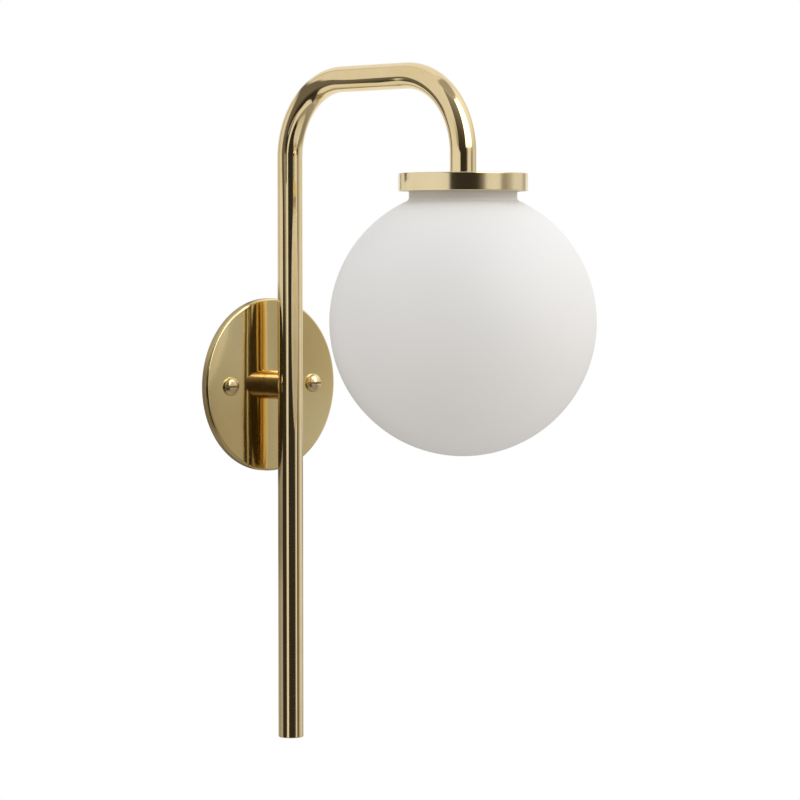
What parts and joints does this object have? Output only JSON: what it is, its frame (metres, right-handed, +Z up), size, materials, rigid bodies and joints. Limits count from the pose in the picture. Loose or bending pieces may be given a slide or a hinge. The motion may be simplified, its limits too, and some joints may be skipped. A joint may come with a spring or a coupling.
{
  "type": "globe wall sconce",
  "caption": "Wall light: a round wall plate and standoff carry a bent tube whose shallow gallery holds a screw-neck opal glass globe over a lamp.",
  "frame": {"origin": "centre of the wall plate's back, on the face of the wall", "axes": "+Z up, +Y into the wall, +X to the right as the light is seen from the room"},
  "size_m": [0.2, 0.3175, 0.531],
  "materials": {
    "polished_brass": "polished, unlacquered",
    "machined_brass": "machined",
    "zinc_steel": "zinc plated",
    "green_steel": "green, for earth",
    "opal_glass": "satin opal",
    "lamp_glass": "frosted",
    "stem_glass": "clear",
    "black_glass": "dark vitrite",
    "ceramic": "glazed ceramic",
    "white_plastic": "moulded",
    "nylon": "moulded",
    "silicone": "moulded",
    "solder": "tinned",
    "nickel": "bright",
    "phosphor": "phosphor coated",
    "black_insulation": "extruded",
    "white_insulation": "extruded"
  },
  "bodies": {
    "fixture": {"backplate": "polished_brass", "face_screws": "polished_brass", "standoff": "polished_brass", "arm_tube": "polished_brass", "arm_end_cap": "polished_brass", "gallery_cap": "polished_brass", "mounting_strap": "zinc_steel", "earth_screw": "green_steel", "earth_washer": "zinc_steel", "wall_nipple": "machined_brass", "wall_lock_washer": "zinc_steel", "wall_locknut": "machined_brass", "wire_bushing": "nylon", "arm_insert": "machined_brass", "gallery_nipple": "machined_brass", "gallery_washer": "machined_brass", "gallery_locknut": "machined_brass", "globe_ring": "machined_brass", "holder_cap": "white_plastic", "holder_skirt": "white_plastic", "holder_core": "ceramic", "holder_terminals": "machined_brass", "terminal_screws": "zinc_steel", "centre_contact": "machined_brass", "screw_shell": "nickel", "live_wire": "black_insulation", "neutral_wire": "white_insulation"},
    "globe_travel": {"globe_gasket": "silicone"},
    "globe": {"globe_glass": "opal_glass"},
    "lamp_travel": {"lamp_contact": "solder"},
    "lamp": {"lamp_cap": "nickel", "lamp_insulator": "black_glass", "lamp_envelope": "lamp_glass", "lamp_stem": "stem_glass", "lamp_crowns": "nickel", "lamp_filaments": "phosphor"}
  },
  "joints": [
    {"name": "globe_lowering", "type": "slide", "parent": "fixture", "child": "globe_travel", "axis": [0, 0, -1], "range_m": [0, 0.01]},
    {"name": "globe_unscrew", "type": "hinge", "parent": "globe_travel", "child": "globe", "pos_m": [0, -0.2175, 0.1535], "axis": [0, 0, -1], "range_deg": [0, 600]},
    {"name": "lamp_lowering", "type": "slide", "parent": "fixture", "child": "lamp_travel", "axis": [0, 0, -1], "range_m": [0, 0.01724]},
    {"name": "lamp_unscrew", "type": "hinge", "parent": "lamp_travel", "child": "lamp", "pos_m": [0, -0.2175, 0.112], "axis": [0, 0, -1], "range_deg": [0, 1710]}
  ],
  "couplings": [
    {"joint": "globe_lowering", "follows": "globe_unscrew", "m_per_rad": 0.00095493},
    {"joint": "lamp_lowering", "follows": "lamp_unscrew", "m_per_rad": 0.00057757}
  ]
}
